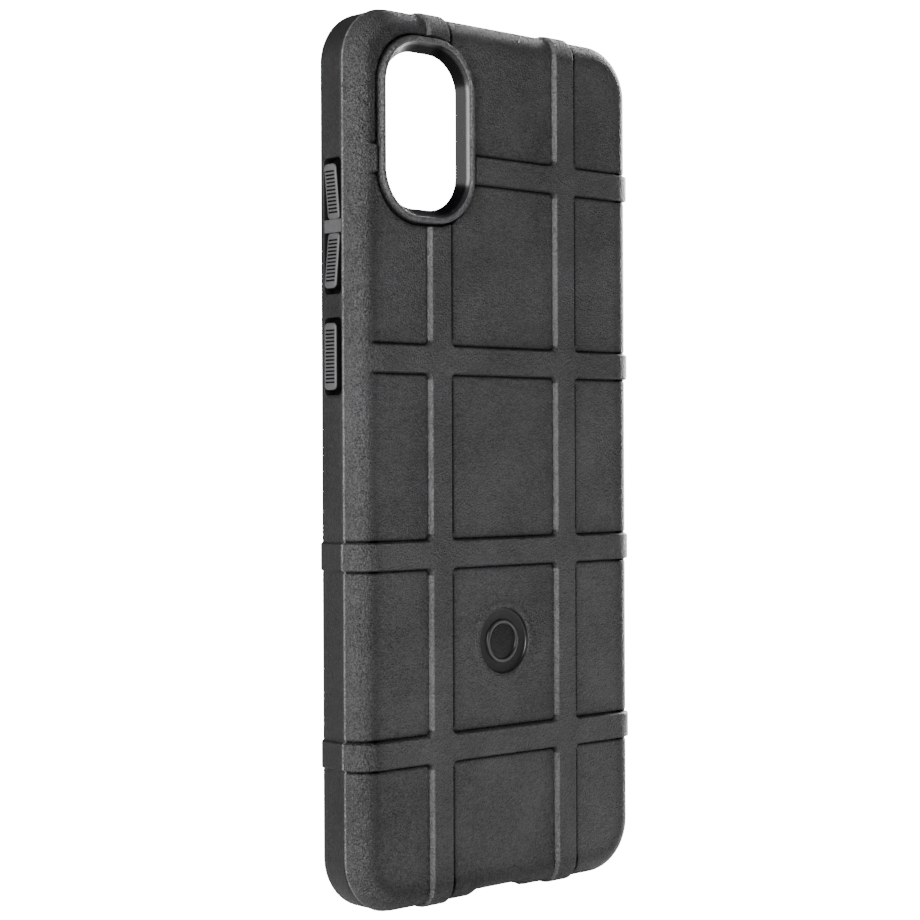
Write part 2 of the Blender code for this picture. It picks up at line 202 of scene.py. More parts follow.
def mouldedPolymer(name, look):
    # moulded TPU: nearly black, its gloss broken up by the grain that the mould was etched with
    material = bpy.data.materials.new(name)
    material.use_nodes = True
    tree = material.node_tree
    shader = tree.nodes["Principled BSDF"]
    shader.inputs["IOR"].default_value = 1.5
    place = addNode(tree, "ShaderNodeTexCoord").outputs["Object"]
    height = None
    for layer in look["grain"]:
        scale = 1.0 / layer["size"]
        if layer["kind"] == "pebble":
            kind, out = "ShaderNodeTexVoronoi", "Distance"
            settings = {"Scale": scale, "feature": "F1", "Randomness": 1.0}
        else:
            kind, out = "ShaderNodeTexNoise", "Fac"
            settings = {"Scale": scale, "Detail": 2.0, "Roughness": 0.5}
        pattern = addNode(tree, kind, settings, {"Vector": place}).outputs[out]
        scaled = addNode(tree, "ShaderNodeMath", {"operation": "MULTIPLY", 1: layer["depth"]}, {0: pattern})
        if height is None:
            height = scaled.outputs[0]
        else:
            both = {0: height, 1: scaled.outputs[0]}
            height = addNode(tree, "ShaderNodeMath", {"operation": "ADD"}, both).outputs[0]
    coarse = addNode(tree, "ShaderNodeAttribute", {"attribute_name": "coarse"}).outputs["Fac"]
    clump = addNode(
        tree, "ShaderNodeTexNoise", {"Scale": 1 / look["clumpSize"], "Detail": 1.0}, {"Vector": place}
    ).outputs["Fac"]
    centred = addNode(tree, "ShaderNodeMath", {"operation": "SUBTRACT", 1: 0.5}, {0: clump}).outputs[0]
    clumps = addNode(tree, "ShaderNodeMath", {"operation": "MULTIPLY"}, {0: centred, 1: coarse}).outputs[0]
    height = addNode(
        tree, "ShaderNodeMath", {"operation": "MULTIPLY_ADD", 1: look["clumpDepth"]}, {0: clumps, 2: height}
    ).outputs[0]
    bump = addNode(tree, "ShaderNodeBump", {"Strength": look["bump"], "Distance": 1.0}, {"Height": height})
    tree.links.new(bump.outputs["Normal"], shader.inputs["Normal"])
    # faint handling marks, a little paler or darker than the rest
    cloud = addNode(
        tree, "ShaderNodeTexNoise", {"Scale": 1 / blend["cloudSize"], "Detail": 3.0}, {"Vector": place}
    ).outputs["Fac"]
    speck = addNode(
        tree, "ShaderNodeTexNoise", {"Scale": 1 / look["speckSize"], "Detail": 1.0}, {"Vector": place}
    ).outputs["Fac"]
    faint = addNode(
        tree, "ShaderNodeMath", {"operation": "MULTIPLY", 1: blend["cloudShare"]}, {0: cloud}
    ).outputs[0]
    mixed = addNode(
        tree, "ShaderNodeMath", {"operation": "MULTIPLY_ADD", 1: blend["speckShare"]}, {0: speck, 2: faint}
    ).outputs[0]
    mixed = addNode(
        tree, "ShaderNodeMath", {"operation": "MULTIPLY_ADD", 1: blend["clumpShare"]}, {0: clumps, 2: mixed}
    ).outputs[0]
    ramp = addNode(tree, "ShaderNodeValToRGB", None, {"Fac": mixed})
    ramp.color_ramp.elements[0].position = blend["darkEnd"]
    ramp.color_ramp.elements[0].color = linear(look["dark"])
    ramp.color_ramp.elements[1].position = blend["lightEnd"]
    ramp.color_ramp.elements[1].color = linear(look["light"])
    # painted shade and painted highlight, from the foot attribute, scale the colour and the sheen
    paintedLight = addNode(tree, "ShaderNodeAttribute", {"attribute_name": "foot"}).outputs["Fac"]
    clear = addNode(
        tree, "ShaderNodeMath", {"operation": "MULTIPLY_ADD", 1: -blend["paintedLightStrength"], 2: 1.0}, {0: paintedLight}
    ).outputs[0]
    shaded = addNode(
        tree, "ShaderNodeVectorMath", {"operation": "SCALE"}, {0: ramp.outputs["Color"], "Scale": clear}
    )
    tree.links.new(shaded.outputs[0], shader.inputs["Base Color"])
    sheen = addNode(tree, "ShaderNodeMath", {"operation": "MULTIPLY", 1: look["specular"]}, {0: clear})
    tree.links.new(sheen.outputs[0], shader.inputs["Specular IOR Level"])
    rough = addNode(
        tree, "ShaderNodeMapRange", {"To Min": look["rough"][0], "To Max": look["rough"][1]},
        {"Value": mixed},
    )
    tree.links.new(rough.outputs["Result"], shader.inputs["Roughness"])
    return material


panelGrain = {
    "specular": 0.5, "bump": 1.0, "speckSize": 0.26 * mm, "clumpSize": 0.30 * mm, "clumpDepth": 0.34 * mm,
    "dark": "#0e0e0e", "light": "#3d3d3e",
    "rough": (0.34, 0.54),
    "grain": [
        {"kind": "pebble", "size": 0.48 * mm, "depth": 0.18 * mm},  # coarser than the real one, to be seen
        {"kind": "noise", "size": 0.27 * mm, "depth": 0.28 * mm},
    ],
}
bandGrain = {
    "specular": 0.25, "bump": 1.0, "speckSize": 0.3 * mm, "clumpSize": 0.4 * mm, "clumpDepth": 0.3 * mm,
    "dark": "#0a0a0a", "light": "#232323",
    "rough": (0.42, 0.60),
    "grain": [{"kind": "noise", "size": 0.26 * mm, "depth": 0.12 * mm}],
}
glossWall = {
    "specular": 0.3, "bump": 0.3, "speckSize": 0.6 * mm, "clumpSize": 0.4 * mm, "clumpDepth": 0.3 * mm,
    "dark": "#121213", "light": "#18181a",
    "rough": (0.16, 0.24),
    "grain": [{"kind": "noise", "size": 1.5 * mm, "depth": 0.03 * mm}],
}
smoothDisc = {
    "specular": 0.35, "bump": 0.4, "speckSize": 0.5 * mm, "clumpSize": 0.4 * mm, "clumpDepth": 0.3 * mm,
    "dark": "#0e0e0f", "light": "#161617",
    "rough": (0.26, 0.36),
    "grain": [{"kind": "noise", "size": 0.8 * mm, "depth": 0.03 * mm}],
}
satinKey = {
    "specular": 0.5, "bump": 0.6, "speckSize": 0.35 * mm, "clumpSize": 0.4 * mm, "clumpDepth": 0.3 * mm,
    "dark": "#39393a", "light": "#444445",
    "rough": (0.40, 0.48),
    "grain": [{"kind": "noise", "size": 0.2 * mm, "depth": 0.02 * mm}],
}
# near-black painted shade for the key sides, grooves and slot walls
paintedGapShade = {
    "specular": 0.08, "bump": 0.4, "speckSize": 0.3 * mm, "clumpSize": 0.4 * mm, "clumpDepth": 0.3 * mm,
    "dark": "#050505", "light": "#090909",
    "rough": (0.70, 0.80),
    "grain": [{"kind": "noise", "size": 0.3 * mm, "depth": 0.02 * mm}],
}
grainedTpu = mouldedPolymer("grainedTpu", panelGrain)  # leather-like grain on the back, soft broken sheen
fineTpu = mouldedPolymer("fineTpu", bandGrain)  # finer, duller grain on the side band
shadedTpu = mouldedPolymer("shadedTpu", paintedGapShade)  # near-black painted shade on the sides of the keys, of their grooves and of the key slots
polishedTpu = mouldedPolymer("polishedTpu", glossWall)  # slick wall round the lens opening
smoothTpu = mouldedPolymer("smoothTpu", smoothDisc)  # semi-gloss round badge
satinTpu = mouldedPolymer("satinTpu", satinKey)  # paler, even sheen on the keys
print("materials made")


ribs = {
    "lineX": 16.9 * mm,
    "rowPitch": 37.0 * mm,
    "rowMiddle": 0.35 * mm,  # above the middle of the case
    "rowRaise": 0.2 * mm,
    "width": 5.1 * mm,  # across the top, inside the flanks
    "flankRun": 0.42 * mm,
    "fillet": 1.3 * mm,
    "footDepth": 0.22 * mm,
    "footWidth": 0.24 * mm,
    "sideFootDepth": 0.08 * mm,
    # painted shade along the rib feet, painted highlights on the rib edges and flanks
    "shadeMiddle": 0.30 * mm,
    "shadeReach": 0.30 * mm,
    "awayMiddle": 0.85 * mm,
    "paintedHighlight": 1.2,
    "highlightMiddle": 0.12 * mm,
    "highlightReach": 0.14 * mm,
    "flankHighlight": 0.9,
    "flankMiddle": 0.05 * mm,
    "flankReach": 0.22 * mm,
    "stoppedRows": 2,
    "stopStart": 31.6 * mm,  # where the upper rows begin to sink into the border
    "stopEnd": 35.2 * mm,
}
rowZ = [midZ + ribs["rowMiddle"] + ribs["rowRaise"] + ribs["rowPitch"] * (1.5 - row) for row in range(4)]

bezelLow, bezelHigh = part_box("lens_bezel")
bezelX = (bezelLow.x + bezelHigh.x) / 2
bezelZ = (bezelLow.z + bezelHigh.z) / 2
bezelHalf = ((bezelHigh.x - bezelLow.x) / 2, (bezelHigh.z - bezelLow.z) / 2)
discLow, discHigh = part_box("badge_disc")
discX = (discLow.x + discHigh.x) / 2
discZ = (discLow.z + discHigh.z) / 2
discRadius = (discHigh.x - discLow.x) / 2
collar = {"inner": 0.20 * mm, "outer": 1.20 * mm, "rise": 0.20 * mm, "soft": 0.30 * mm}


def ribDistance(x, z):
    # signed distance to the nearest rib's edge, with the panels' corners rounded
    half = ribs["width"] / 2
    across = abs(abs(x) - ribs["lineX"]) - half
    along = 1.0
    for row, height in enumerate(rowZ):
        gap = abs(z - height) - half
        if row < ribs["stoppedRows"] and x < -ribs["stopEnd"]:
            gap = hypot(max(gap, 0.0), -ribs["stopEnd"] - x)
        along = min(along, gap)
    r = ribs["fillet"]
    if across < r and along < r:
        return max(r, min(across, along)) - hypot(max(r - across, 0.0), max(r - along, 0.0))
    return min(across, along)


def stopFade(x, z):
    # the upper rows die out before the key side
    if x > -ribs["stopStart"] or z < rowZ[1] - ribs["width"]:
        return 1.0
    return 1 - smooth((-ribs["stopStart"] - x) / (ribs["stopEnd"] - ribs["stopStart"]))


def ribRise(x, z, full, footDepth=ribs["footDepth"]):
    # full is the rib's height at this part of the shell
    gap = ribDistance(x, z)
    run = ribs["flankRun"]
    rise = full * (1 - smooth((gap + run / 2) / run))
    foot = (gap - run * 0.75) / ribs["footWidth"]
    rise -= footDepth * exp(-foot * foot)
    return rise * stopFade(x, z)


def footShade(x, z):
    # 1 for painted shade in the corner along each rib, below 0 for painted highlights on a rib's edge away
    # from the light and on its flank that faces the light
    middle, reach = ribs["shadeMiddle"], ribs["shadeReach"]
    gap = ribDistance(x, z)
    half = ribs["width"] / 2
    lines = (-ribs["lineX"], ribs["lineX"])
    # painted highlight on the flank that faces the light
    if any(abs(gap - (line - half - x)) < 1e-6 for line in lines):
        flank = (gap + ribs["flankMiddle"]) / ribs["flankReach"]
        return -ribs["flankHighlight"] * exp(-flank * flank) * stopFade(x, z)
    paintedHighlight = 0.0
    # on the side away from the light, the painted shadow lies further out and the rib's edge gets a painted
    # highlight
    if any(abs(gap - (x - line - half)) < 1e-6 for line in lines):
        middle = ribs["awayMiddle"]
        edge = (gap + ribs["highlightMiddle"]) / ribs["highlightReach"]
        paintedHighlight = ribs["paintedHighlight"] * exp(-edge * edge)
    # painted shade in the corner along the rib
    shade = exp(-((gap - middle) / reach) ** 2) if gap > -0.1 * mm else 0.0
    return (shade - paintedHighlight) * stopFade(x, z)


def collarRise(x, z):
    reach = hypot(x - discX, z - discZ) - discRadius
    up = smooth((reach - collar["inner"] + collar["soft"]) / collar["soft"])
    down = smooth((reach - collar["outer"]) / collar["soft"])
    return collar["rise"] * (up - down)


def outlinePoints(centre, half, corner, cornerSteps, placesX, placesZ):
    # a rounded rectangle as (x, z, way out), clockwise from its top left
    flatX, flatZ = half[0] - corner, half[1] - corner
    points = [(centre[0] + x, centre[1] + half[1], Vector((0, 0, 1))) for x in placesX]
    sides = (
        (1, 1, 90, [(centre[0] + half[0], centre[1] + z, Vector((1, 0, 0))) for z in reversed(placesZ)]),
        (1, -1, 0, [(centre[0] + x, centre[1] - half[1], Vector((0, 0, -1))) for x in reversed(placesX)]),
        (-1, -1, -90, [(centre[0] - half[0], centre[1] + z, Vector((-1, 0, 0))) for z in placesZ]),
        (-1, 1, 180, []),
    )
    for signX, signZ, start, side in sides:
        for step in range(1, cornerSteps):
            angle = radians(start - 90 * step / cornerSteps)
            out = Vector((cos(angle), 0, sin(angle)))
            x = centre[0] + signX * flatX + corner * out.x
            z = centre[1] + signZ * flatZ + corner * out.z
            points.append((x, z, out))
        points.extend(side)
    return points


def sweptSheet(outline, profile, placeAt, closed):
    # a grid bent into a ring: outline runs round it, and profile runs across it
    bm = bmesh.new()
    columns, rows = len(outline), len(profile)
    bmesh.ops.create_grid(bm, x_segments=columns, y_segments=rows - (0 if closed else 1), size=1.0)
    lastRow = rows if closed else rows - 1
    for vert in bm.verts:
        column = round((vert.co.x + 1) / 2 * columns) % columns
        row = round((vert.co.y + 1) / 2 * lastRow) % rows
        vert.co = placeAt(outline[column], profile[row])
    bmesh.ops.remove_doubles(bm, verts=bm.verts, dist=1e-7)
    return bm


def arc(centre, radius, start, end, steps):
    # (inset, Y) points of a rounded edge; at 0 degrees the point lies nearest the outline
    points = []
    for step in range(steps + 1):
        turn = radians(start + (end - start) * step / steps)
        points.append((centre[0] - radius * cos(turn), centre[1] + radius * sin(turn)))
    return points


back = {
    "edgeSteps": 16,
    "flatStep": 1.25 * mm,
    "fineStep": 0.10 * mm,
    "fineReach": 0.7 * mm,
    "wrap": 8.4 * mm,  # length given to the rounded edge on the flat grid
    "innerSteps": 6,
    "innerRound": 1.0 * mm,
    "floorRim": 0.8 * mm,
    "windowGap": 0.48 * mm,
    "insideStart": 1.2 * mm,  # deeper than this and further in than rimDepth, a point is in the pocket
    "rimDepth": 1.7 * mm,
    "clumpStart": 1.6 * mm,  # the grain's clumps are deep on the rounded edge and shallow on the panels
    "clumpReach": 3.0 * mm,
    "clumpLeast": 0.15,
}
relief = {
    "half": 5.6 * mm, "flank": 2.5 * mm, "height": 0.85 * mm, "frontDepth": 8.8 * mm,
    "frontFade": 0.8 * mm,
}


def reliefDip(x, downward):
    # the shallow scoop at the bottom end, where a plug's body goes
    return relief["height"] * (1 - smooth((abs(x) - relief["half"]) / relief["flank"])) * smooth(downward)


def edgePoint(run):
    # run is the distance out from the corner's centre, followed over the rounded edge
    flat = shape["cornerRadius"] - shape["edgeReach"]
    if run <= flat:
        return run, 0.0, 0.0
    turn = min((run - flat) / back["wrap"], 1.0) * pi / 2
    swell = shape["edgeSwell"]
    reach = flat + shape["edgeReach"] * sin(turn) ** swell
    return reach, partDepth * (1 - max(cos(turn), 0.0) ** swell), turn


def borderBead(inset):
    crest = shape["borderCrest"]
    return shape["borderRise"] * smooth(inset / crest) * (1 - smooth((inset - crest) / shape["borderSlope"]))


def wrapped(s, t):
    # lays a point of the flat grid on the shell
    cornerX = halfWidth - shape["cornerRadius"]
    cornerZ = halfLength - shape["cornerRadius"]
    p = max(abs(s) - cornerX, 0.0)
    q = max(abs(t) - cornerZ, 0.0)
    reach, depth, turn, angle = 0.0, 0.0, 0.0, 0.0
    if p > 0 or q > 0:
        if p >= q:
            run, angle = p, pi / 4 * q / p
        else:
            run, angle = q, pi / 2 - pi / 4 * p / q
        reach, depth, turn = edgePoint(run)
    signX = 1 if s > 0 else -1
    signZ = 1 if t > 0 else -1
    x = signX * (min(abs(s), cornerX) + reach * cos(angle))
    z = midZ + signZ * (min(abs(t), cornerZ) + reach * sin(angle))
    side = sin(turn) ** (2 - shape["edgeSwell"]) * partDepth
    rear = max(cos(turn), 0.0) ** (2 - shape["edgeSwell"]) * shape["edgeReach"]
    out = Vector((side * cos(angle) * signX, -rear, side * sin(angle) * signZ)).normalized()
    inset = min(halfWidth - abs(x), halfLength - abs(z - midZ))
    if p > 0 and q > 0:
        inset = shape["cornerRadius"] - reach
    bead = borderBead(inset)
    full = shape["ribHeight"] * cos(turn) ** 2 + shape["ribSideHeight"] * sin(turn) ** 2
    lift = ribRise(x, z, full - bead * cos(turn)) + collarRise(x, z) - reliefDip(x, -out.z)
    lift += shape["seamRise"] * (1 - smooth(abs(partDepth - depth - shape["seamBead"]) / shape["seamBead"]))
    return Vector((x, panelY + depth - bead, z)) + out * lift


def fineSpots(middles):
    # where the grid runs close: both edges of every rib
    half = ribs["width"] / 2
    return [(m + edge * half, back["fineReach"], back["fineStep"]) for m in middles for edge in (-1, 1)]


ribMiddlesX = (-ribs["lineX"], ribs["lineX"])
ribMiddlesZ = [row - midZ for row in rowZ]


def outlineInset(x, z):
    # how far in from the case's outline a point lies
    p = abs(x) - (halfWidth - shape["cornerRadius"])
    q = abs(z - midZ) - (halfLength - shape["cornerRadius"])
    if p > 0 and q > 0:
        return shape["cornerRadius"] - hypot(p, q)
    return shape["cornerRadius"] - max(p, q)


def insidePlace(co, wall, end):
    # the place on the pocket's outline that lies straight in from a place on the case's outline
    cornerX = halfWidth - shape["cornerRadius"]
    cornerZ = halfLength - shape["cornerRadius"]
    p = abs(co.x) - cornerX
    q = abs(co.z - midZ) - cornerZ
    signX = 1 if co.x > 0 else -1
    signZ = 1 if co.z > midZ else -1
    if p <= 0:
        return Vector((co.x, co.y, midZ + signZ * (halfLength - end)))
    if q <= 0:
        return Vector((signX * (halfWidth - wall), co.y, co.z))
    reach = hypot(p, q)
    across = (halfWidth - wall - cornerX) * p / reach
    along = (halfLength - end - cornerZ) * q / reach
    return Vector((signX * (cornerX + across), co.y, midZ + signZ * (cornerZ + along)))


def closeInside(bm):
    # from the part line in to the pocket's wall, down it, and across the floor
    edges = [edge for edge in bm.edges if edge.is_boundary]
    floorY = panelY + shape["panel"]
    levels = [(0.0, partY)]
    for step in range(back["innerSteps"] + 1):
        turn = pi / 2 * step / back["innerSteps"]
        levels.append((back["innerRound"] * (1 - cos(turn)), floorY + back["innerRound"] * (1 - sin(turn))))
    for inward, y in levels:
        made = bmesh.ops.extrude_edge_only(bm, edges=edges)["geom"]
        edges = [item for item in made if isinstance(item, bmesh.types.BMEdge)]
        for item in made:
            if isinstance(item, bmesh.types.BMVert):
                item.co = insidePlace(item.co, shape["sideWall"] + inward, shape["endWall"] + inward)
                item.co.y = y
    floor = bmesh.ops.contextual_create(bm, geom=edges)["faces"]
    bmesh.ops.inset_individual(bm, faces=floor, thickness=back["floorRim"])  # keeps the floor's shading flat


def turnedPiece(profile, steps, centre):
    # spins (radius, Y) points about the axis that runs along Y through centre
    bm = bmesh.new()
    verts = [bm.verts.new((centre[0] + r, y, centre[1])) for r, y in profile]
    edges = [bm.edges.new(pair) for pair in zip(verts, verts[1:])]
    bmesh.ops.spin(
        bm, geom=verts + edges, cent=(centre[0], 0, centre[1]), axis=(0, 1, 0), angle=2 * pi, steps=steps,
        use_merge=True,
    )
    bmesh.ops.remove_doubles(bm, verts=bm.verts, dist=1e-6)
    return bm


def makeBackShell():
    reachX = halfWidth - shape["edgeReach"] + back["wrap"]
    reachZ = halfLength - shape["edgeReach"] + back["wrap"]
    spotsX, spotsZ = fineSpots(ribMiddlesX), fineSpots(ribMiddlesZ)
    ring = discRadius + collar["outer"]
    spotsX.append((discX, ring, 0.3 * mm))
    spotsZ.append((discZ - midZ, ring, 0.3 * mm))
    edgeHalf = back["wrap"] / 2
    edgeStep = back["wrap"] / back["edgeSteps"]
    for side in (-1, 1):
        spotsX.append((side * (reachX - edgeHalf), edgeHalf, edgeStep))
        spotsZ.append((side * (reachZ - edgeHalf), edgeHalf, edgeStep))
        spotsX.append((side * reachX, back["fineStep"] * 4, back["fineStep"]))
        spotsZ.append((side * reachZ, back["fineStep"] * 4, back["fineStep"]))
    placesX = spread(-reachX, reachX, back["flatStep"], spotsX)
    placesZ = spread(-reachZ, reachZ, back["flatStep"], spotsZ)
    lastX, lastZ = len(placesX) - 1, len(placesZ) - 1
    bm = bmesh.new()
    bmesh.ops.create_grid(bm, x_segments=lastX, y_segments=lastZ, size=1.0)
    for vert in bm.verts:
        column = round((vert.co.x + 1) / 2 * lastX)
        row = round((vert.co.y + 1) / 2 * lastZ)
        vert.co = wrapped(placesX[column], placesZ[row])
    closeInside(bm)
    shell = finishMesh("backShell", bm, [grainedTpu], sharp=50)
    gap = back["windowGap"]
    low = (bezelX - bezelHalf[0] - gap, panelY - 5 * mm, bezelZ - bezelHalf[1] - gap)
    high = (bezelX + bezelHalf[0] + gap, panelY + 5 * mm, bezelZ + bezelHalf[1] + gap)
    window = finishMesh("windowCutter", roundedBox(low, high, bezel["corner"] + gap, 24, 1), [grainedTpu])
    seatRadius = discRadius + 0.02 * mm
    top, floor = panelY - 3 * mm, panelY + 1 * mm
    profile = [(0, top), (seatRadius, top), (seatRadius, floor), (0, floor)]
    seat = finishMesh("seatCutter", turnedPiece(profile, 96, (discX, discZ)), [grainedTpu])
    carve(shell, [window, seat])
    shadeOutside(shell)
    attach(shell, "case_body")
    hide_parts("back_shell")


def shadeOutside(shell):
    # coarse: how deep the grain's clumps are; foot: painted shade above 0 and painted highlight below
    for name in ("coarse", "foot"):
        shell.data.attributes.new(name, "FLOAT", "POINT")
    coarse, foot = (shell.data.attributes[name].data for name in ("coarse", "foot"))
    for vert in shell.data.vertices:
        x, y, z = vert.co
        inset = outlineInset(x, z)
        if y > panelY + back["insideStart"] and inset > back["rimDepth"]:
            continue  # the pocket stays plain
        edge = 1 - smooth((inset - back["clumpStart"]) / back["clumpReach"])
        coarse[vert.index].value = back["clumpLeast"] + (1 - back["clumpLeast"]) * edge
        if partY - y > 0.5 * mm:
            # painted shade in the dip inside the border
            hollow = (inset - shape["hollowMiddle"]) / shape["hollowReach"]
            foot[vert.index].value = footShade(x, z) + shape["hollowShade"] * exp(-hollow * hollow)
        elif partY - y > 0.01 * mm:
            # painted highlight along the part line
            foot[vert.index].value = -shape["seamHighlight"]


bezel = {
    "corner": 10.0 * mm,
    "flankRun": 0.14 * mm,
    "crestWidth": 1.30 * mm,
    "crestRound": 0.50 * mm,
    "wallSlope": 1.6 * mm,
    "wallSteps": 6,
    "footDepth": 0.75 * mm,
    "flange": 0.46 * mm,
    "paintedHighlight": 0.6,
    "channelShade": 0.9,
}


def makeBezel():
    # a grained crest with a polished wall that narrows towards the phone
    crestY = bezelLow.y
    floorY = bezelHigh.y
    run, width, r = bezel["flankRun"], bezel["crestWidth"], bezel["crestRound"]
    flange, footY = bezel["flange"], panelY + bezel["footDepth"]
    profile = [(0.0, floorY), (-flange, floorY), (-flange, footY), (0.0, footY)]
    profile.append((0.02 * mm, panelY - 0.05 * mm))
    profile += arc((run + r, crestY + r), r, 10, -90, 6)
    profile += arc((width - r, crestY + r), r, -90, -165, 6)
    wallTop, wallStart = profile[-1]
    for step in range(1, bezel["wallSteps"] + 1):
        part = step / bezel["wallSteps"]
        inset = wallTop + (bezel["wallSlope"] + width - wallTop) * part
        profile.append((inset, wallStart + (floorY - wallStart) * part))
    flatX = bezelHalf[0] - bezel["corner"]
    flatZ = bezelHalf[1] - bezel["corner"]
    placesX = spread(-flatX, flatX, 0.7 * mm, [])
    placesZ = spread(-flatZ, flatZ, 0.7 * mm, [])
    outline = outlinePoints((bezelX, bezelZ), bezelHalf, bezel["corner"], 32, placesX, placesZ)

    def placeAt(point, level):
        x, z, out = point
        return Vector((x - out.x * level[0], level[1], z - out.z * level[0]))

    bm = sweptSheet(outline, profile, placeAt, closed=True)
    for face in bm.faces:
        middle = face.calc_center_median()
        inset = bezelInset(middle.x, middle.z)
        if inset > bezel["crestWidth"] - 0.05 * mm and middle.y > wallStart:
            face.material_index = 1
    ring = finishMesh("lensBezel", bm, [grainedTpu, polishedTpu], sharp=35)
    # painted highlight on the grained crest, painted shade on the rest of the ring
    foot = ring.data.attributes.new("foot", "FLOAT", "POINT")
    for vert, value in zip(ring.data.vertices, foot.data):
        value.value = -bezel["paintedHighlight"] if vert.co.y < panelY - 0.3 * mm else bezel["channelShade"]
    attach(ring, "case_body")
    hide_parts("lens_bezel")


def bezelInset(x, z):
    # how far in from the bezel's outline a point lies
    p = abs(x - bezelX) - (bezelHalf[0] - bezel["corner"])
    q = abs(z - bezelZ) - (bezelHalf[1] - bezel["corner"])
    if p > 0 and q > 0:
        return bezel["corner"] - hypot(p, q)
    return bezel["corner"] - max(p, q)


badge = {
    "recess": 0.65 * mm,
    "edgeRound": 0.50 * mm,
    "chamfer": 0.12 * mm,
    "domeGap": 0.25 * mm,
    "ringOuter": 4.3 * mm,
    "ringInner": 3.4 * mm,
    "ringRise": 0.42 * mm,
    "domeRise": 0.16 * mm,
    "paintedHighlight": 2.0,
}


def makeBadge():
    floorY = panelY + badge["recess"]
    r = badge["edgeRound"]
    profile = [(0, discHigh.y), (discRadius, discHigh.y), (discRadius, panelY + 0.02 * mm)]
    profile.append((discRadius - badge["chamfer"], panelY))
    for inset, y in arc((badge["chamfer"] + r, floorY - r), r, 0, 90, 6):
        profile.append((discRadius - inset, y))
    middle = (badge["ringOuter"] + badge["ringInner"]) / 2
    half = (badge["ringOuter"] - badge["ringInner"]) / 2
    for step in range(13):
        turn = pi * step / 12
        bulge = sin(turn) ** 0.6 if 0 < step < 12 else 0.0
        profile.append((middle + half * cos(turn), floorY - badge["ringRise"] * bulge))
    domeStart = badge["ringInner"] - badge["domeGap"]
    for step in range(9):
        part = step / 8
        profile.append((domeStart * (1 - part), floorY - badge["domeRise"] * (1 - (1 - part) ** 2)))
    bm = turnedPiece(profile, 96, (discX, discZ))
    for face in bm.faces:
        place = face.calc_center_median()
        if hypot(place.x - discX, place.z - discZ) < domeStart:
            face.material_index = 1
    disc = finishMesh("badgeDisc", bm, [smoothTpu, fineTpu], sharp=35)
    # painted highlight on the badge's raised ring and rim
    foot = disc.data.attributes.new("foot", "FLOAT", "POINT")
    for vert, value in zip(disc.data.vertices, foot.data):
        reach = hypot(vert.co.x - discX, vert.co.z - discZ)
        onRing = vert.co.y < floorY - badge["ringRise"] * 0.9 and reach < badge["ringOuter"]
        onRim = reach > discRadius - 0.3 * mm and vert.co.y < panelY + 0.1 * mm
        value.value = -badge["paintedHighlight"] if onRing or onRim else 0.0
    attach(disc, "case_body")
    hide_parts("badge_disc")


band = {"sideSteps": 10, "roundSteps": 8, "lipRound": 0.3 * mm, "cornerSteps": 28}
slot = {
    "endGap": 1.0 * mm, "frontGap": 0.4 * mm, "corner": 1.0 * mm, "strip": 0.22 * mm,
    "web": 0.22 * mm,  # the thin skin that is left behind the keys
}
ends = {
    "portHalf": 5.6 * mm, "portFront": 8.8 * mm, "portCorner": 1.0 * mm,
    "speakerX": 10.8 * mm, "speakerWidth": 3.8 * mm, "speakerHeight": 1.6 * mm,
    "micX": 6.0 * mm, "micRadius": 0.8 * mm,
}
joints = {joint["name"]: Vector(joint["pos_m"]) for joint in frame["joints"]}


def bandProfile():
    # (inset from the side, Y, how far rib pads reach), from the part line round the lip to the pocket
    groove = shape["seam"] * 1.5
    low = partY + groove
    high = frontY - shape["frontRound"]
    profile = [(groove, partY + 0.01 * mm, 1.0), (0.0, low, 1.0)]
    for step in range(1, band["sideSteps"] + 1):
        profile.append((0.0, low + (high - low) * step / band["sideSteps"], 1.0))
    for step in range(1, band["roundSteps"] + 1):
        turn = pi / 2 * step / band["roundSteps"]
        inset = shape["frontRound"] * (1 - cos(turn))
        profile.append((inset, high + shape["frontRound"] * sin(turn), cos(turn)))
    lipEdge = shape["sideWall"] + shape["lipOverhang"]
    r = band["lipRound"]
    for inset, y in arc((lipEdge - r, frontY - r), r, 90, 180, 4):
        profile.append((inset, y, 0.0))
    for inset, y in arc((lipEdge - r, frontY - shape["lip"] + r), r, 180, 270, 4):
        profile.append((inset, y, 0.0))
    profile.append((shape["sideWall"], frontY - shape["lip"], 0.0))
    profile.append((shape["sideWall"], partY + 0.01 * mm, 0.0))
    return profile


def bandPlace(point, level):
    x, z, out = point
    inset, y, pad = level
    extra = (shape["endWall"] - shape["sideWall"]) * min(inset / shape["sideWall"], 1.0)
    lift = 0.0
    if pad > 0:
        reach = 1 - smooth((y - panelY - relief["frontDepth"]) / relief["frontFade"])
        lift = ribRise(x, z, shape["ribSideHeight"], ribs["sideFootDepth"]) * pad
        lift -= reliefDip(x, -out.z) * reach
    return Vector((x - out.x * (inset - lift), y, z - out.z * (inset + extra - lift)))


def sideCutter(name, lowZ, highZ, backY, frontSlotY):
    low = (-halfWidth - 2 * mm, backY, lowZ)
    high = (-halfWidth + shape["sideWall"] - slot["web"], frontSlotY, highZ)
    # the slot's cut walls take the near-black painted shade
    return finishMesh(name, roundedBox(low, high, slot["corner"], 10, 0), [shadedTpu])


